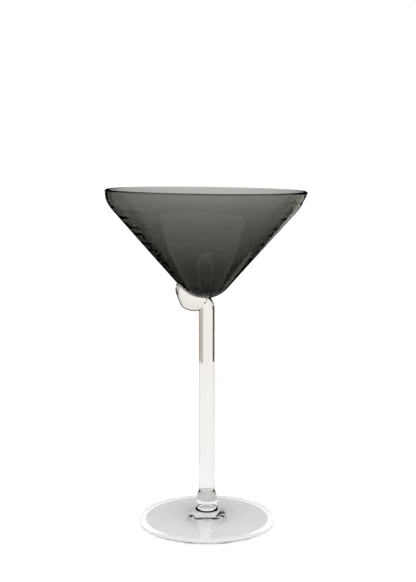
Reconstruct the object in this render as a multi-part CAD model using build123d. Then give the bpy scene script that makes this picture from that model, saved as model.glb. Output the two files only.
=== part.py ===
from build123d import *
from math import atan2, cos, radians, sin, sqrt, tan
import os

# A hand-blown martini glass, in millimetres. The foot rests on z = 0, the bowl, stem, bead and
# foot share the z axis, and the curl at the stem's top points along -x.

# Overall
overall_height = 187.0
rim_diameter = 110.0
foot_diameter = 76.0

# Bowl: a rounded bottom, a straight cone and a lip that turns up
bowl_bottom_radius = 17.0
cone_angle = radians(41.4)  # from the vertical
lip_angle = radians(14.0)  # from the vertical
lip_height = 7.6  # from where cone and lip would meet in a corner, up to the crest
lip_bend_radius = 20.0
rim_wall = 1.8
low_wall = 3.2  # where the cone meets the rounded bottom
bottom_wall = 4.2

# Stem: a solid cane whose shoulder narrows to the seat where it is fused to the bowl
stem_top_diameter = 8.9
stem_foot_diameter = 8.7
shoulder_height = 7.4
seat_diameter = 4.8

# Curl: a cane bent round under the bowl
curl_diameter = 9.2
curl_bend_radius = 5.9  # of its centreline
curl_drop = 7.2  # from the bowl's lowest point down to the curl's
curl_reach = 7.0  # from the glass's axis out to the centre of the bend
curl_start_angle = 55.0  # degrees below the horizontal, at the stem
curl_end_angle = 12.0  # degrees above the horizontal, at the far end
curl_end_length = 2.2  # of the straight end
curl_end_rounding = 2.0

# Bead between stem and foot
bead_diameter = 11.8
bead_height = 9.3
bead_bulge_height = 2.4  # from the seam with the foot up to the widest place

# Foot: a disc with a thick rounded edge, a neck that flares into it and a hollow underside
foot_height = 9.6
foot_neck_diameter = 10.8
foot_edge_thickness = 3.2
foot_flare_width = 7.0
foot_slope = radians(4.4)  # of the disc's top, up towards the neck
resting_ring_width = 3.4
foot_hollow = 1.5  # at its deepest, on the axis


def turned(*outline):
    """A solid of revolution about the z axis, from the edges of a (radius, height) outline."""
    return revolve(make_face(Plane.XZ * (Curve() + list(outline))), Axis.Z)


def rising(angle, length):
    """A step of this length, at this angle from the vertical."""
    return Vector(sin(angle), cos(angle)) * length


def outward(angle, length):
    """A step of this length, square to a line at this angle and away from the axis."""
    return Vector(cos(angle), -sin(angle)) * length


def meeting(low, low_angle, high, high_angle):
    """Where the line that rises from low crosses the line that comes down from high."""
    span = high - low
    length = (span.X * cos(high_angle) - span.Y * sin(high_angle)) / sin(low_angle - high_angle)
    return low + rising(low_angle, length)


def rounded_bottom(height, slope_start):
    """The arc from the axis, at this height, to where a sloping wall starts."""
    return TangentArc((0, height), slope_start, tangent=(1, 0))


# Bowl, outside
rim_rounding = rim_wall / 2
rim_centre = Vector(rim_diameter / 2 - rim_rounding, overall_height - rim_rounding)
lip_outside = rim_centre + outward(lip_angle, rim_rounding)
lip_inside = rim_centre - outward(lip_angle, rim_rounding)
corner_drop = lip_outside.Y - (overall_height - lip_height)
outer_corner = lip_outside - rising(lip_angle, corner_drop / cos(lip_angle))
cone_start_radius = bowl_bottom_radius * cos(cone_angle)
cone_drop = (outer_corner.X - cone_start_radius) / tan(cone_angle)
cone_start = Vector(cone_start_radius, outer_corner.Y - cone_drop)
bowl_bottom = cone_start.Y - bowl_bottom_radius * (1 - sin(cone_angle))

# Bowl, inside: its cone is a little wider, so that the wall thickens from the rim down
wall_gain = low_wall - rim_wall
inner_angle = cone_angle + atan2(wall_gain, (outer_corner - cone_start).length)
inner_low = cone_start - outward(cone_angle, low_wall)
inner_corner = meeting(inner_low, inner_angle, lip_inside, lip_angle)
inner_bottom = bowl_bottom + bottom_wall
inner_bottom_radius = (
    inner_low.X * cos(inner_angle) + (inner_bottom - inner_low.Y) * sin(inner_angle)
) / (1 - sin(inner_angle))
inner_start = Vector(
    inner_bottom_radius * cos(inner_angle),
    inner_bottom + inner_bottom_radius * (1 - sin(inner_angle)),
)

outside = [
    rounded_bottom(bowl_bottom, cone_start),
    FilletPolyline(cone_start, outer_corner, lip_outside, radius=lip_bend_radius),
]
rim_edge = ThreePointArc(lip_outside, rim_centre + rising(lip_angle, rim_rounding), lip_inside)
inside = [
    FilletPolyline(lip_inside, inner_corner, inner_start, radius=lip_bend_radius - rim_wall),
    rounded_bottom(inner_bottom, inner_start),
]
bowl_axis = Line((0, inner_bottom), (0, bowl_bottom))
bowl = turned(*outside, rim_edge, *inside, bowl_axis)
bowl_fill = Polyline(lip_outside, (0, lip_outside.Y), (0, bowl_bottom))
full_bowl = turned(*outside, bowl_fill)

# Foot
foot_edge = foot_diameter / 2 - foot_edge_thickness / 2
foot_neck = foot_neck_diameter / 2
flare_radius = foot_neck + foot_flare_width
flare_start = (flare_radius, foot_edge_thickness + (foot_edge - flare_radius) * tan(foot_slope))
resting_inside = foot_edge - resting_ring_width
foot_outline = [
    TangentArc((0, foot_hollow), (resting_inside, 0), tangent=(1, 0)),
    Line((resting_inside, 0), (foot_edge, 0)),
    TangentArc((foot_edge, 0), (foot_edge, foot_edge_thickness), tangent=(1, 0)),
    Line((foot_edge, foot_edge_thickness), flare_start),
    TangentArc(
        flare_start, (foot_neck, foot_height), tangent=(-cos(foot_slope), sin(foot_slope))
    ),
    Polyline((foot_neck, foot_height), (0, foot_height), (0, foot_hollow)),
]
foot = turned(*foot_outline)

# Bead
bead_top = foot_height + bead_height
bead_bulge = (bead_diameter / 2, foot_height + bead_bulge_height)
stem_foot = stem_foot_diameter / 2
bead_outline = [
    TangentArc(bead_bulge, (foot_neck, foot_height), tangent=(0, -1)),
    TangentArc(bead_bulge, (stem_foot, bead_top), tangent=(0, 1)),
    Polyline(
        (stem_foot, bead_top), (0, bead_top), (0, foot_height), (foot_neck, foot_height)
    ),
]
bead = turned(*bead_outline)

# Stem, from the bead's top up to the bowl's underside
seat = seat_diameter / 2
seat_edge = Vector(seat, bowl_bottom + bowl_bottom_radius - sqrt(bowl_bottom_radius**2 - seat**2))
shoulder_start = Vector(stem_top_diameter / 2, seat_edge.Y - shoulder_height)
stem_outline = [
    Line((stem_foot, bead_top), shoulder_start),
    TangentArc(shoulder_start, seat_edge, tangent=(0, 1)),
    rounded_bottom(bowl_bottom, seat_edge),
    Polyline((0, bowl_bottom), (0, bead_top), (stem_foot, bead_top)),
]
stem = turned(*stem_outline)

# Curl: a bent length with a domed start inside the shoulder and a straight, rounded far end
curl_radius = curl_diameter / 2
bend_centre = Vector(
    -curl_reach, 0, bowl_bottom - curl_drop + curl_bend_radius + curl_radius
)
bend_turn = 180 + curl_end_angle - curl_start_angle
bend_path = Plane.XZ * CenterArc(
    (bend_centre.X, bend_centre.Z), curl_bend_radius, -curl_start_angle, -bend_turn
)
section = Plane(bend_path @ 0, z_dir=bend_path % 0) * Circle(curl_radius)
end_plane = Plane(bend_path @ 1, z_dir=bend_path % 1)
end = Cylinder(
    curl_radius, curl_end_length, align=(Align.CENTER, Align.CENTER, Align.MIN)
)
end = fillet(end.edges().sort_by(Axis.Z)[-1], curl_end_rounding)
curl = sweep(section, path=bend_path) + end_plane * end
curl += Pos(bend_path @ 0) * Sphere(curl_radius)
curl = curl - stem - full_bowl

os.makedirs("parts", exist_ok=True)
export_step(bowl, "parts/bowl.step")
export_step(stem, "parts/stem.step")
export_step(curl, "parts/curl.step")
export_step(bead, "parts/bead.step")
export_step(foot, "parts/foot.step")
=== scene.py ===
import math

import bmesh
import bpy
import numpy as np
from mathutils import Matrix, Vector


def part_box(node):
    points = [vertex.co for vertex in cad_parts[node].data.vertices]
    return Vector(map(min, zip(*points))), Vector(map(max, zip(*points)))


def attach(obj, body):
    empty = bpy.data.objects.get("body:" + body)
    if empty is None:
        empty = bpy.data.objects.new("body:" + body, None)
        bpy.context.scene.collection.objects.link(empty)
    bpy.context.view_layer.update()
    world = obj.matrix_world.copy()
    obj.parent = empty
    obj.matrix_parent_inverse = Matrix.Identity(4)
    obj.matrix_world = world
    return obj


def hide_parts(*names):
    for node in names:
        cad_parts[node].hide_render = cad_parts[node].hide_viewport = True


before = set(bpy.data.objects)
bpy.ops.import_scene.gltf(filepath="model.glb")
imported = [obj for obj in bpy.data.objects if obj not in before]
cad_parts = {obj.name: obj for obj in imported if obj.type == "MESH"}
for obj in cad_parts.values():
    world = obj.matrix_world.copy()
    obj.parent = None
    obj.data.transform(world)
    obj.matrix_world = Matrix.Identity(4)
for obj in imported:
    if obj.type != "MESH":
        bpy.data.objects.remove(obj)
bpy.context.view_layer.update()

mm = 0.001

# Sizes that the CAD parts in model.glb give
bowl_low, bowl_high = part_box("bowl")
curl_low, curl_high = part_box("curl")
bowl_bottom, rim_height, rim_radius = bowl_low.z, bowl_high.z, bowl_high.x
stem_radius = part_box("stem")[1].x
bead_radius, bead_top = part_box("bead")[1].x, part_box("bead")[1].z
foot_radius, seam_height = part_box("foot")[1].x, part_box("foot")[1].z

# Bowl
bottom_radius = 17.0 * mm
cone_angle = math.radians(41.4)
lip_angle = math.radians(14.0)
lip_height = 7.6 * mm
lip_bend = 20.0 * mm
rim_wall = 1.8 * mm
low_wall = 3.2 * mm
bottom_wall = 4.2 * mm

# Stem, curl and bead
stem_foot_radius = 4.35 * mm
shoulder_height = 7.4 * mm
shoulder_radius = 13.7 * mm
seat_radius = 2.4 * mm
curl_radius = (curl_high.y - curl_low.y) / 2
curl_bend = 5.9 * mm
curl_start = math.radians(55.0)  # below the horizontal, at the stem
curl_end = math.radians(12.0)  # above the horizontal, at the far end
curl_end_length = 2.2 * mm
bead_bulge_height = 2.4 * mm
neck_radius = 5.4 * mm

# Foot
edge_thickness = 3.2 * mm
flare_width = 7.0 * mm
foot_slope = math.radians(4.4)
ring_width = 3.4 * mm
foot_hollow = 1.5 * mm

# Steps along the outlines, and round a turned piece
cone_steps = 90
round_steps = 36
fine_steps = 24
coarse_steps = 16
flat_steps = 4
bead_steps = 12
hollow_steps = 40
slope_steps = 30
flare_steps = 48
turned_segments = 192
bowl_segments = 300

# Hand-made irregularities
bowl_runout = 1.2 * mm  # how far the bowl sits off the stem's axis, towards the curl
lip_flare = 0.9 * mm  # how much further out the lip leans on the side away from the curl
rim_tilt = 0.7 * mm
ripple_spacing = 4.5 * mm
ripple_depth = 0.035 * mm
outside_ripple = 0.4  # the outside's share of the inside's depth
ripples_start, ripples_full = 5 * mm, 12 * mm  # above the bowl's bottom
lip_zone = 6.5 * mm  # below the rim, where the lip's lean sets in and the ripples die out
fusing_depth = 0.3 * mm  # how far the clear glass reaches into the bowl's skin
crease = 0.5 * mm  # radius of the crease between curl and stem
cut_lean = math.atan2(3.2, 7.4)  # from the vertical, of the plane where curl and stem part
facet_depth = 1.2 * mm  # the flat on the curl's end
facet_direction = Vector((-0.89, -0.31, -0.32)).normalized()
facet_blend = 0.3 * mm
fused_blend = 0.4 * mm  # where the clear glass rounds off inside the bowl's skin

# Mesh of the clear glass above the bead
fine_grid = 0.25 * mm
coarse_grid = 1.5 * mm  # down the straight stem
grid_margin = 1 * mm
side_margin = 0.6 * mm
fine_margin = 4 * mm  # of fine grid below the curl
stem_overrun = 9 * mm  # meshed below the bead's top, and then cut off there


# Outlines are lists of (radius, height) points. Each piece of outline leaves out its start.


def straight(start, end, count=1):
    steps = np.linspace(0, 1, count + 1)[1:, None]
    return list(np.array(start) + steps * (np.array(end) - np.array(start)))


def arc(start, end, heading, count=fine_steps):
    """Points along the circular arc that leaves start at this heading and reaches end."""
    heading = np.array(heading) / np.hypot(*heading)
    side = np.array((-heading[1], heading[0]))
    chord = np.array(end) - np.array(start)
    turn = 2 * math.atan2(chord @ side, chord @ heading)
    radius = np.hypot(*chord) / (2 * math.sin(turn / 2))
    angles = turn * np.linspace(0, 1, count + 1)[1:, None]
    curve = np.sin(angles) * heading + (1 - np.cos(angles)) * side
    return list(np.array(start) + radius * curve)


def rising(angle, length=1.0):
    """A step at an angle from the vertical."""
    return np.array((math.sin(angle), math.cos(angle))) * length


def outward(angle, length=1.0):
    """A step square to that, away from the axis."""
    return np.array((math.cos(angle), -math.sin(angle))) * length


def meeting(low, low_angle, high, high_angle):
    """Where the line that rises from low crosses the one that comes down from high."""
    span = high - low
    reach = span[0] * math.cos(high_angle) - span[1] * math.sin(high_angle)
    return low + rising(low_angle, reach / math.sin(low_angle - high_angle))


def bend(low, low_angle, corner, high_angle, radius):
    """A straight from low towards the corner, and the arc that rounds the corner."""
    cut = radius * math.tan((low_angle - high_angle) / 2)
    start = corner - rising(low_angle, cut)
    end = corner + rising(high_angle, cut)
    return straight(low, start, cone_steps) + arc(start, end, rising(low_angle), coarse_steps)


def smooth_step(value, low, high):
    t = np.clip((value - low) / (high - low), 0, 1)
    return t * t * (3 - 2 * t)


def new_piece(name, points, faces, clear_faces=()):
    """A smooth object. The faces listed as clear get the second slot and stay flat."""
    mesh = bpy.data.meshes.new(name)
    mesh.from_pydata([tuple(p) for p in points], [], faces)
    mesh.polygons.foreach_set("use_smooth", [True] * len(faces))
    for i in clear_faces:
        mesh.polygons[i].material_index = 1
        mesh.polygons[i].use_smooth = False
    mesh.update()
    piece = bpy.data.objects.new(name, mesh)
    bpy.context.collection.objects.link(piece)
    return piece


def lathe(name, outline, seams=(), segments=turned_segments, shape=None):
    """Turns an outline that starts and ends on the axis. Flat faces at a seam's height are clear."""
    outline = np.array(outline)
    angles = 2 * np.pi * np.arange(segments) / segments
    rings = outline[1:-1]
    x = rings[:, :1] * np.cos(angles)
    y = rings[:, :1] * np.sin(angles)
    z = np.repeat(rings[:, 1:], segments, axis=1)
    points = np.stack((x, y, z), axis=-1).reshape(-1, 3)
    bottom, top = len(points), len(points) + 1
    points = np.vstack((points, (0, 0, outline[0][1]), (0, 0, outline[-1][1])))
    around = [(i, (i + 1) % segments) for i in range(segments)]
    last = (len(rings) - 1) * segments
    faces = [(bottom, j, i) for i, j in around]
    for low in range(0, last, segments):
        high = low + segments
        faces += [(low + i, low + j, high + j, high + i) for i, j in around]
    faces += [(last + i, last + j, top) for i, j in around]
    flat = [n for n, face in enumerate(faces) if any(all_at(points, face, z) for z in seams)]
    if shape is not None:
        points = shape(points)
    return new_piece(name, points, faces, flat)


def all_at(points, face, height):
    return all(abs(points[i][2] - height) < 1e-7 for i in face)


# Bowl


def bowl_outline():
    """From the bottom outside, over the rim, to the bottom inside."""
    edge = rim_wall / 2
    rim = np.array((rim_radius - edge, rim_height - edge))
    lip_outside = rim + outward(lip_angle, edge)
    lip_inside = rim - outward(lip_angle, edge)
    drop = lip_outside[1] - (rim_height - lip_height)
    outer_corner = lip_outside - rising(lip_angle, drop / math.cos(lip_angle))
    cone_start = bowl_sphere() + outward(cone_angle, bottom_radius)
    gain = math.atan2(low_wall - rim_wall, np.hypot(*(outer_corner - cone_start)))
    inner_angle = cone_angle + gain
    inner_low = cone_start - outward(cone_angle, low_wall)
    inner_corner = meeting(inner_low, inner_angle, lip_inside, lip_angle)
    inner_bottom = bowl_bottom + bottom_wall
    inner_radius = (
        inner_low[0] * math.cos(inner_angle)
        + (inner_bottom - inner_low[1]) * math.sin(inner_angle)
    ) / (1 - math.sin(inner_angle))
    inner_start = np.array((0, inner_bottom + inner_radius)) + outward(inner_angle, inner_radius)

    points = [np.array((0, bowl_bottom))]
    points += arc(points[-1], cone_start, (1, 0), round_steps)
    points += bend(cone_start, cone_angle, outer_corner, lip_angle, lip_bend)
    points += straight(points[-1], lip_outside, flat_steps)
    points += arc(lip_outside, lip_inside, rising(lip_angle), coarse_steps)
    inside = [np.array((0, inner_bottom))]
    inside += arc(inside[-1], inner_start, (1, 0), round_steps)
    inside += bend(inner_start, inner_angle, inner_corner, lip_angle, lip_bend - rim_wall)
    inside += straight(inside[-1], lip_inside, flat_steps)
    return points + inside[-2::-1]


def bowl_sphere():
    """The centre of the rounded bottom."""
    return np.array((0, bowl_bottom + bottom_radius))


def hand_blown(points):
    """The bowl's small departures from a true turned shape."""
    x, y, z = points.T
    radius = np.hypot(x, y) + 1e-9
    lip = smooth_step(z, rim_height - lip_zone, rim_height)
    above_seat = smooth_step(z, bowl_bottom + ripples_start, bowl_bottom + ripples_full)
    depth = np.where(on_inside(radius, z), ripple_depth, outside_ripple * ripple_depth)
    out = lip * lip_flare * x / radius
    out -= depth * ripples(np.arctan2(y, x), z) * above_seat * (1 - lip)
    tilt = -rim_tilt * x / rim_radius * smooth_step(z, bowl_bottom, rim_height)
    return np.stack((x + out * x / radius - bowl_runout, y + out * y / radius, z + tilt), axis=1)


def ripples(angle, height):
    """Rings of two spacings that wander round the bowl and are strongest at its sides."""
    wander = 0.8 * np.sin(3 * angle + 0.4) + 0.5 * np.sin(7 * angle)
    rings = np.sin(2 * np.pi * height / ripple_spacing + wander)
    rings += 0.6 * np.sin(2 * np.pi * height / (0.63 * ripple_spacing) - 1.4 * wander)
    strength = 0.15 + 0.85 * np.cos(angle) ** 2 * (1 + 0.4 * np.sin(5 * angle + 2.1))
    return (1 + rings) * strength


def on_inside(radius, height):
    """Whether a point of the bowl is nearer to the axis than about the middle of its wall."""
    wall = low_wall + (rim_wall - low_wall) * smooth_step(height, bowl_bottom, rim_height)
    rise = height - bowl_bottom - bottom_radius
    outside = (bottom_radius + rise * math.sin(cone_angle)) / math.cos(cone_angle)
    return radius < outside - 0.6 * wall


# Clear glass above the bead: a signed distance, and a mesh of where it is zero


def smooth_min(a, b, width):
    blend = np.clip(0.5 + 0.5 * (b - a) / width, 0, 1)
    return b + (a - b) * blend - width * blend * (1 - blend)


def stem_distance(x, y, z):
    """A tapered cane with a shoulder that narrows to its seat under the bowl."""
    seat_height = bowl_bottom + seat_radius**2 / (2 * bottom_radius)
    shoulder = seat_height - shoulder_height
    taper = stem_foot_radius + (stem_radius - stem_foot_radius) * (z - bead_top) / (
        shoulder - bead_top
    )
    above = np.clip(z - shoulder, 0, 0.95 * shoulder_radius)
    drop = np.sqrt(shoulder_radius**2 - above**2)
    radius = taper - shoulder_radius + drop
    slope = above / drop
    return (np.hypot(x, y) - radius) / np.sqrt(1 + slope**2)


def curl_distance(x, y, z):
    """A cane on an arc, with a domed start, a straight far end and a flat on that end."""
    centre_x = curl_low.x + curl_bend + curl_radius
    centre_z = curl_low.z + curl_bend + curl_radius
    across, up = x - centre_x, z - centre_z
    angle = np.arctan2(up, across)
    angle = np.where(angle > math.pi / 2, angle - 2 * math.pi, angle)
    angle = np.clip(angle, -math.pi - curl_end, -curl_start)
    bent = np.sqrt(
        (across - curl_bend * np.cos(angle)) ** 2 + (up - curl_bend * np.sin(angle)) ** 2 + y**2
    )
    end_x, end_z = -math.cos(curl_end) * curl_bend, math.sin(curl_end) * curl_bend
    along_x, along_z = math.sin(curl_end), math.cos(curl_end)
    run = np.clip((across - end_x) * along_x + (up - end_z) * along_z, 0, curl_end_length)
    end = np.sqrt(
        (across - end_x - run * along_x) ** 2 + (up - end_z - run * along_z) ** 2 + y**2
    )
    body = np.minimum(bent, end) - curl_radius
    facet = facet_direction
    flat = (across + curl_bend) * facet.x + y * facet.y + up * facet.z
    flat -= curl_radius - facet_depth
    return -smooth_min(-body, -flat, facet_blend)


def bowl_distance(x, y, z):
    """From the bowl's underside, positive below and outside it."""
    radius = np.hypot(x + bowl_runout, y)
    up = z - bowl_bottom - bottom_radius
    round_part = np.hypot(radius, up) - bottom_radius
    cone_part = radius * math.cos(cone_angle) - up * math.sin(cone_angle) - bottom_radius
    on_cone = up * math.cos(cone_angle) + radius * math.sin(cone_angle) > 0
    return np.where(on_cone, cone_part, round_part)


def clear_distance(x, y, z):
    """Stem and curl together, kept out of the bowl but for the depth to which they are fused."""
    body = smooth_min(stem_distance(x, y, z), curl_distance(x, y, z), crease)
    buried = -bowl_distance(x, y, z) - fusing_depth
    return -smooth_min(-body, -buried, fused_blend)


def gradient(field, points, step=0.01 * mm):
    moved = []
    for axis in np.eye(3) * step:
        moved.append(field(*(points + axis).T) - field(*(points - axis).T))
    return np.stack(moved, axis=1) / (2 * step)


def settle(field, points, rounds=4):
    """Moves points onto the surface where the field is zero."""
    for _ in range(rounds):
        slope = gradient(field, points)
        fall = (slope**2).sum(axis=1, keepdims=True) + 1e-9
        points = points - field(*points.T)[:, None] * slope / fall
    return points


def surface_net(field, xs, ys, zs):
    """Points and faces of the surface where the field is zero: a point in each grid cell that the
    surface crosses, and a face round each grid edge that it crosses."""
    grid = np.stack(np.meshgrid(xs, ys, zs, indexing="ij"), axis=-1)
    value = field(*np.moveaxis(grid, -1, 0))
    shape = np.array(value.shape)
    total = np.zeros((*(shape - 1), 3))
    count = np.zeros(shape - 1)
    crossings = []
    for axis in range(3):
        low = np.take(value, range(shape[axis] - 1), axis=axis)
        high = np.take(value, range(1, shape[axis]), axis=axis)
        start = np.take(grid, range(shape[axis] - 1), axis=axis)
        end = np.take(grid, range(1, shape[axis]), axis=axis)
        crossed = (low < 0) != (high < 0)
        share = np.where(crossed, low / np.where(crossed, low - high, 1), 0)[..., None]
        place = np.where(crossed[..., None], start + share * (end - start), 0)
        others = [a for a in range(3) if a != axis]
        for near in (0, 1):
            for far in (0, 1):
                cut = [slice(None)] * 3
                cut[others[0]] = slice(near, shape[others[0]] - 1 + near)
                cut[others[1]] = slice(far, shape[others[1]] - 1 + far)
                total += place[tuple(cut)]
                count += crossed[tuple(cut)]
        crossings.append((axis, others, crossed, low))
    used = count > 0
    number = np.cumsum(used.ravel()).reshape(used.shape) - 1
    points = total[used] / count[used][:, None]
    faces = []
    for axis, others, crossed, low in crossings:
        crossed = crossed.copy()
        for other in others:
            np.moveaxis(crossed, other, 0)[[0, -1]] = False
        at = np.argwhere(crossed)
        inside = low[crossed] < 0
        corners = []
        for near, far in ((1, 1), (0, 1), (0, 0), (1, 0)):
            cell = at.copy()
            cell[:, others[0]] -= near
            cell[:, others[1]] -= far
            corners.append(number[tuple(cell.T)])
        quads = np.stack(corners, axis=1)
        flip = inside if axis == 1 else ~inside
        quads[flip] = quads[flip][:, ::-1]
        faces += quads.tolist()
    return points, faces


def relaxed(points, faces, rounds=6):
    """Evens the points out over the surface."""
    edges = np.array([(f[i], f[(i + 1) % 4]) for f in faces for i in range(4)])
    for _ in range(rounds):
        total = np.zeros_like(points)
        count = np.zeros(len(points))
        np.add.at(total, edges[:, 0], points[edges[:, 1]])
        np.add.at(count, edges[:, 0], 1)
        points = 0.5 * points + 0.5 * total / count[:, None]
        points = settle(clear_distance, points, 2)
    return points


def part_of(name, source, cuts):
    """A copy of a mesh, kept on the side of each cut that its normal points away from. The cut
    faces are clear, and normals come from the distance field, so that parts meet without a seam."""
    build = bmesh.new()
    build.from_mesh(source)
    for point, normal in cuts:
        bmesh.ops.bisect_plane(
            build,
            geom=[*build.verts, *build.edges, *build.faces],
            plane_co=point,
            plane_no=normal,
            clear_outer=True,
            dist=1e-6,
        )
        rim = [edge for edge in build.edges if edge.is_boundary and lies_on(edge, point, normal)]
        cap = bmesh.ops.triangle_fill(build, edges=rim, normal=normal)["geom"]
        for face in cap:
            if isinstance(face, bmesh.types.BMFace):
                face.material_index = 1
                face.smooth = False
                if face.normal.dot(Vector(normal)) < 0:
                    face.normal_flip()
    mesh = bpy.data.meshes.new(name)
    build.to_mesh(mesh)
    build.free()
    points = np.empty(len(mesh.vertices) * 3)
    mesh.vertices.foreach_get("co", points)
    normals = gradient(clear_distance, points.reshape(-1, 3))
    normals /= np.linalg.norm(normals, axis=1, keepdims=True)
    mesh.normals_split_custom_set_from_vertices([tuple(n) for n in normals])
    piece = bpy.data.objects.new(name, mesh)
    bpy.context.collection.objects.link(piece)
    return piece


def lies_on(edge, point, normal):
    normal = Vector(normal).normalized()
    return all(abs((v.co - Vector(point)).dot(normal)) < 2e-6 for v in edge.verts)


def stem_and_curl():
    """Both, cut apart where the curl's underside leaves the stem."""
    reach = curl_radius + side_margin
    xs = np.arange(curl_low.x - grid_margin, reach, fine_grid)
    ys = np.arange(-reach, reach, fine_grid)
    coarse_top = curl_low.z - fine_margin
    coarse = np.arange(bead_top - stem_overrun, coarse_top, coarse_grid)
    fine = np.arange(coarse_top, curl_high.z + 2 * grid_margin, fine_grid)
    zs = np.concatenate((coarse, fine))
    points, faces = surface_net(clear_distance, xs, ys, zs)
    points = settle(clear_distance, points)
    points = relaxed(points, faces)
    whole = bpy.data.meshes.new("clear_top")
    whole.from_pydata([tuple(p) for p in points], [], faces)
    whole.polygons.foreach_set("use_smooth", [True] * len(faces))
    notch = (-stem_radius, 0, curl_low.z)
    away = Vector((math.cos(cut_lean), 0, -math.sin(cut_lean)))
    stem = part_of("stem_glass", whole, [(notch, -away), ((0, 0, bead_top), (0, 0, -1))])
    curl = part_of("curl_glass", whole, [(notch, away)])
    bpy.data.meshes.remove(whole)
    return stem, curl


# Bead and foot


def bead_outline():
    bulge = (bead_radius, seam_height + bead_bulge_height)
    seam_middle, seam_edge = (0, seam_height), (neck_radius, seam_height)
    lower = arc(bulge, seam_edge, (0, -1), bead_steps)
    points = [seam_middle] + straight(seam_middle, seam_edge, flat_steps)
    points += lower[-2::-1] + [bulge]
    points += arc(bulge, (stem_foot_radius, bead_top), (0, 1))
    return points + straight((stem_foot_radius, bead_top), (0, bead_top), flat_steps)


def foot_outline():
    edge = foot_radius - edge_thickness / 2
    ring = edge - ring_width
    flare = neck_radius + flare_width
    flare_start = (flare, edge_thickness + (edge - flare) * math.tan(foot_slope))
    points = [(0, foot_hollow)]
    points += arc((0, foot_hollow), (ring, 0), (1, 0), hollow_steps)
    points += straight((ring, 0), (edge, 0), flat_steps)
    points += arc((edge, 0), (edge, edge_thickness), (1, 0))
    points += straight((edge, edge_thickness), flare_start, slope_steps)
    heading = (-math.cos(foot_slope), math.sin(foot_slope))
    points += arc(flare_start, (neck_radius, seam_height), heading, flare_steps)
    return points + straight((neck_radius, seam_height), (0, seam_height), flat_steps)


# Materials


def new_material(name):
    material = bpy.data.materials.new(name)
    material.use_nodes = True
    nodes, links = material.node_tree.nodes, material.node_tree.links
    nodes.clear()
    output = nodes.new("ShaderNodeOutputMaterial")
    return material, nodes, links, output


def glass(name, tints, streak_scale, streak_depth, ripple):
    """Glass whose tint changes with height and in faint streaks, with a slightly uneven surface."""
    material, nodes, links, output = new_material(name)
    shader = nodes.new("ShaderNodeBsdfPrincipled")
    shader.inputs["Transmission Weight"].default_value = 1.0
    shader.inputs["Roughness"].default_value = 0.0
    shader.inputs["IOR"].default_value = 1.5
    place = nodes.new("ShaderNodeTexCoord").outputs["Object"]
    tint = height_tint(nodes, links, place, tints)
    streaks = streak_noise(nodes, links, place, streak_scale)

    shade = nodes.new("ShaderNodeMapRange")
    shade.inputs["From Min"].default_value = 0.3
    shade.inputs["From Max"].default_value = 0.7
    shade.inputs["To Min"].default_value = 1.0 - streak_depth
    links.new(streaks, shade.inputs["Value"])
    colour = scaled(nodes, links, tint, shade.outputs["Result"])
    links.new(colour, shader.inputs["Base Color"])

    uneven = nodes.new("ShaderNodeBump")
    uneven.inputs["Distance"].default_value = ripple
    links.new(streaks, uneven.inputs["Height"])
    links.new(uneven.outputs["Normal"], shader.inputs["Normal"])
    links.new(shader.outputs["BSDF"], output.inputs["Surface"])
    return material, nodes, links, output


def height_tint(nodes, links, place, tints):
    """The colour at each height. tints is (height, colour) from the lowest up."""
    parts = nodes.new("ShaderNodeSeparateXYZ")
    links.new(place, parts.inputs["Vector"])
    height = nodes.new("ShaderNodeMapRange")
    height.name = "height"  # from 0 at the floor to 1 at the rim
    height.inputs["From Max"].default_value = rim_height
    links.new(parts.outputs["Z"], height.inputs["Value"])
    tint = nodes.new("ShaderNodeValToRGB")
    links.new(height.outputs["Result"], tint.inputs["Fac"])
    stops = tint.color_ramp.elements
    while len(stops) < len(tints):
        stops.new(0.5)
    for stop, (level, shade) in zip(stops, tints):
        stop.position = level / rim_height
        stop.color = (*shade, 1)
    return tint.outputs["Color"]


def streak_noise(nodes, links, place, scale):
    stretch = nodes.new("ShaderNodeMapping")
    stretch.inputs["Scale"].default_value = scale
    links.new(place, stretch.inputs["Vector"])
    streaks = nodes.new("ShaderNodeTexNoise")
    streaks.inputs["Scale"].default_value = 1.0
    streaks.inputs["Detail"].default_value = 3.0
    links.new(stretch.outputs["Vector"], streaks.inputs["Vector"])
    return streaks.outputs["Fac"]


def scaled(nodes, links, colour, factor):
    product = nodes.new("ShaderNodeVectorMath")
    product.operation = "SCALE"
    links.new(colour, product.inputs[0])
    links.new(factor, product.inputs["Scale"])
    return product.outputs["Vector"]


def smoke_glass():
    """Thick grey glass: a tint by height, smoke in its depth, a dark grazing edge, and painted shade
    that dims its reflection towards the bottom.
    """
    tints = (
        (127 * mm, (0.55, 0.55, 0.53)),
        (142 * mm, (0.58, 0.58, 0.56)),
        (153 * mm, (0.80, 0.80, 0.78)),
        (165 * mm, (0.88, 0.88, 0.87)),
        (178 * mm, (1.0, 1.0, 0.99)),
    )
    material, nodes, links, output = glass("smoke_glass", tints, (350, 350, 40), 0.05, 0.008 * mm)
    shader = nodes["Principled BSDF"]
    # Specular tint rising with height: painted shade, dimming the lower bowl's reflection as if the
    # floor below lay in its shadow.
    reflection_shade = nodes.new("ShaderNodeMapRange")
    reflection_shade.inputs["From Min"].default_value = 143 * mm / rim_height
    reflection_shade.inputs["From Max"].default_value = 160 * mm / rim_height
    reflection_shade.inputs["To Min"].default_value = 0.0
    reflection_shade.inputs["To Max"].default_value = 0.5
    links.new(nodes["height"].outputs["Result"], reflection_shade.inputs["Value"])
    links.new(reflection_shade.outputs["Result"], shader.inputs["Specular Tint"])
    darken_edge(nodes, links, shader)

    smoke = nodes.new("ShaderNodeVolumeAbsorption")
    smoke.inputs["Color"].default_value = (0.056, 0.047, 0.0, 1)
    smoke.inputs["Density"].default_value = 450.0
    links.new(smoke.outputs["Volume"], output.inputs["Volume"])
    return material


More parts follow.
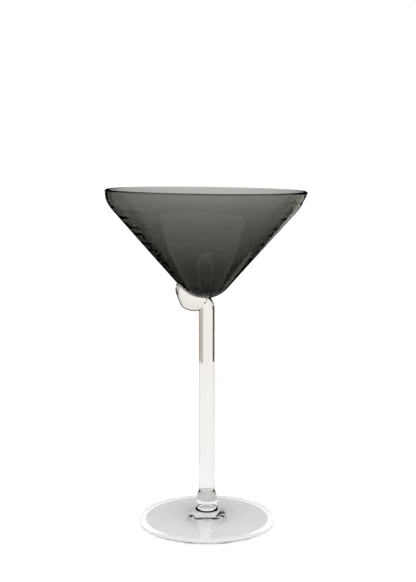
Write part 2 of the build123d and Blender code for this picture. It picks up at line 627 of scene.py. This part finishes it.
def darken_edge(nodes, links, shader):
    """Scales the base colour down where the surface is seen at a grazing angle."""
    edge = nodes.new("ShaderNodeLayerWeight")
    edge.inputs["Blend"].default_value = 0.5
    darker = nodes.new("ShaderNodeMapRange")
    darker.interpolation_type = "SMOOTHSTEP"
    darker.inputs["From Min"].default_value = 0.72
    darker.inputs["From Max"].default_value = 0.95
    darker.inputs["To Min"].default_value = 1.0
    darker.inputs["To Max"].default_value = 0.1
    links.new(edge.outputs["Facing"], darker.inputs["Value"])
    colour = shader.inputs["Base Color"].links[0].from_socket
    shaded = scaled(nodes, links, colour, darker.outputs["Result"])
    links.new(shaded, shader.inputs["Base Color"])


def clear_glass():
    """Nearly colourless in the foot's disc, grey in its flare, which is painted shade and
    reflection, and slightly warm up the stem.
    """
    tints = (
        (4.2 * mm, (0.99, 0.99, 0.985)),
        # From here up to the bead's seam the grey is painted shade and reflection of the bowl above,
        # not a tint of the glass.
        (5.5 * mm, (0.68, 0.68, 0.675)),
        (9.4 * mm, (0.62, 0.62, 0.615)),
        (9.8 * mm, (0.88, 0.885, 0.87)),
        (40 * mm, (0.84, 0.84, 0.825)),
        (85 * mm, (0.83, 0.81, 0.77)),
        (120 * mm, (0.83, 0.80, 0.75)),
    )
    return glass("clear_glass", tints, (500, 500, 25), 0.02, 0.01 * mm)[0]


def fused_seam():
    """The shared face of two fused pieces, where the glass goes on without a surface."""
    material, nodes, links, output = new_material("fused_seam")
    through = nodes.new("ShaderNodeBsdfTransparent")
    links.new(through.outputs["BSDF"], output.inputs["Surface"])
    return material


def dress(piece, node, slot, *materials):
    """Gives a piece its materials, hides the CAD node that it stands for, and hangs it under the
    root body.
    """
    for material in materials:
        piece.data.materials.append(material)
    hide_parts(node)
    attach(piece, "root")


smoke, clear, seam = smoke_glass(), clear_glass(), fused_seam()
bowl = lathe("bowl_glass", bowl_outline(), segments=bowl_segments, shape=hand_blown)
dress(bowl, "bowl", "smoke_glass", smoke)
stem, curl = stem_and_curl()
dress(stem, "stem", "clear_glass", clear, seam)
dress(curl, "curl", "clear_glass", clear, seam)
bead = lathe("bead_glass", bead_outline(), seams=(seam_height, bead_top))
dress(bead, "bead", "clear_glass", clear, seam)
foot = lathe("foot_glass", foot_outline(), seams=(seam_height,))
dress(foot, "foot", "clear_glass", clear, seam)


# Studio and camera

flag_distance = 460 * mm
near_flag_distance = 120 * mm
contact_depth = 0.1 * mm  # how far the foot presses into the floor
pool_depth = 0.2 * mm  # below the foot
ring_lift = 0.02 * mm
ring_inner, ring_outer = 34.2 * mm, 37.3 * mm  # under the foot's thick edge, a ring of painted light for the caustic that the edge throws
black = (0.005, 0.005, 0.005)
camera_lens = 66.35
camera_place = (0.65 * mm, -585.6 * mm, 207.6 * mm)
camera_pitch = math.radians(7.398)  # downwards


def stage_mesh(name, points, faces, material, place, turn=(0, 0, 0)):
    mesh = bpy.data.meshes.new(name)
    mesh.from_pydata(points, [], faces)
    mesh.materials.append(material)
    card = bpy.data.objects.new(name, mesh)
    card.location = place
    card.rotation_euler = turn
    bpy.context.collection.objects.link(card)
    return card


def stage_plane(name, size, material, place, turn=(0, 0, 0)):
    x, y = size[0] / 2, size[1] / 2
    points = [(-x, -y, 0), (x, -y, 0), (x, y, 0), (-x, y, 0)]
    return stage_mesh(name, points, [(0, 1, 2, 3)], material, place, turn)


def stage_disc(name, radius, shade, place, hole=0.0, segments=96):
    turns = [2 * math.pi * i / segments for i in range(segments)]
    outer = [(radius * math.cos(t), radius * math.sin(t), 0) for t in turns]
    inner = [(hole * math.cos(t), hole * math.sin(t), 0) for t in turns]
    around = [(i, (i + 1) % segments) for i in range(segments)]
    faces = [(i, j, segments + j, segments + i) for i, j in around]
    return stage_mesh(name, outer + inner, faces, lit_card(name, shade), place)


def reflected_pool(name, radius, x, y, shade):
    """A pool of light on the floor, seen only where the glass mirrors it."""
    pool = stage_disc(name, radius, shade, (x, y, -pool_depth))
    only_in_glass(pool, refracted=False)


def only_in_glass(card, refracted=True):
    card.visible_camera = False
    card.visible_diffuse = False
    card.visible_shadow = False
    card.visible_transmission = refracted


def flag(name, near, far, shade, low, high, distance=flag_distance):
    """An upright card, seen only in the glass. Angles are from straight behind the object, to the
    left."""
    near, far = math.radians(near), math.radians(far)
    middle = (near + far) / 2
    width = 2 * distance * math.tan(abs(far - near) / 2)
    across, back = -distance * math.sin(middle), distance * math.cos(middle)
    place = (across, back, (low + high) / 2)
    size = (width, high - low)
    card = stage_plane(name, size, lit_card(name, shade), place, (math.pi / 2, 0, middle))
    only_in_glass(card)


def lit_card(name, shade):
    """The surface of a card that is evenly lit."""
    material, nodes, links, output = new_material(name)
    light = nodes.new("ShaderNodeEmission")
    light.inputs["Color"].default_value = (*shade, 1)
    links.new(light.outputs["Emission"], output.inputs["Surface"])
    return material


def floor_material():
    """A pale light table: an even glow, and a little of the studio's light and shadow."""
    material, nodes, links, output = new_material("pale_floor")
    shader = nodes.new("ShaderNodeBsdfDiffuse")
    shader.inputs["Color"].default_value = (0.45, 0.45, 0.45, 1)
    glow = nodes.new("ShaderNodeEmission")
    glow.inputs["Strength"].default_value = 0.62
    both = nodes.new("ShaderNodeAddShader")
    links.new(shader.outputs["BSDF"], both.inputs[0])
    links.new(glow.outputs["Emission"], both.inputs[1])
    links.new(both.outputs["Shader"], output.inputs["Surface"])
    return material


def studio():
    floor = stage_plane("floor", (0.9, 2.4), floor_material(), (0, 0.2, contact_depth))
    floor.visible_glossy = False
    reflected_pool("pool_near", 111 * mm, -10 * mm, 10 * mm, (0.5, 0.5, 0.48))
    reflected_pool("pool_back", 62 * mm, 88 * mm, 156 * mm, (0.4, 0.37, 0.32))
    ring_place = (0, 0, contact_depth + ring_lift)
    # A glowing ring under the foot's thick edge: painted light that stands in for the caustic the
    # edge focuses on the floor.
    stage_disc("painted_caustic_ring", ring_outer, (1.2, 1.2, 1.2), ring_place, ring_inner)
    ceiling_card = lit_card("dark_ceiling", (0.5, 0.48, 0.45))
    only_in_glass(stage_plane("dark_ceiling", (1.4, 1.2), ceiling_card, (0, 0.1, 0.65)))
    flag("flag_left", 34, 70, black, 68 * mm, 108 * mm, near_flag_distance)
    flag("flag_left_high", 22, 34, black, 110 * mm, 300 * mm)
    flag("flag_right", -42, -84, (0.48, 0.41, 0.3), 0, 95 * mm)
    flag("flag_back", -19, -42, (0.62, 0.6, 0.57), 0, 95 * mm)
    surroundings()
    overhead_lamp()


def surroundings():
    """White all round, which the glass lets through but does not mirror."""
    world = bpy.data.worlds.new("studio")
    bpy.context.scene.world = world
    world.use_nodes = True
    world.cycles_visibility.glossy = False
    background = world.node_tree.nodes["Background"]
    background.inputs["Color"].default_value = (1, 1, 1, 1)
    background.inputs["Strength"].default_value = 1.05


def overhead_lamp():
    light = bpy.data.lights.new("overhead", "AREA")
    light.shape = "SQUARE"
    light.size = 0.8
    light.energy = 1.0
    lamp = bpy.data.objects.new("overhead", light)
    lamp.location = (0, 0, 1.0)
    bpy.context.collection.objects.link(lamp)


def camera():
    """In front of the glass, a little above its rim, looking slightly down."""
    data = bpy.data.cameras.new("camera")
    data.lens = camera_lens
    eye = bpy.data.objects.new("camera", data)
    eye.location = camera_place
    eye.rotation_euler = (math.pi / 2 - camera_pitch, 0, 0)
    bpy.context.collection.objects.link(eye)
    bpy.context.scene.camera = eye


studio()
camera()
bpy.context.scene.view_settings.view_transform = "Standard"
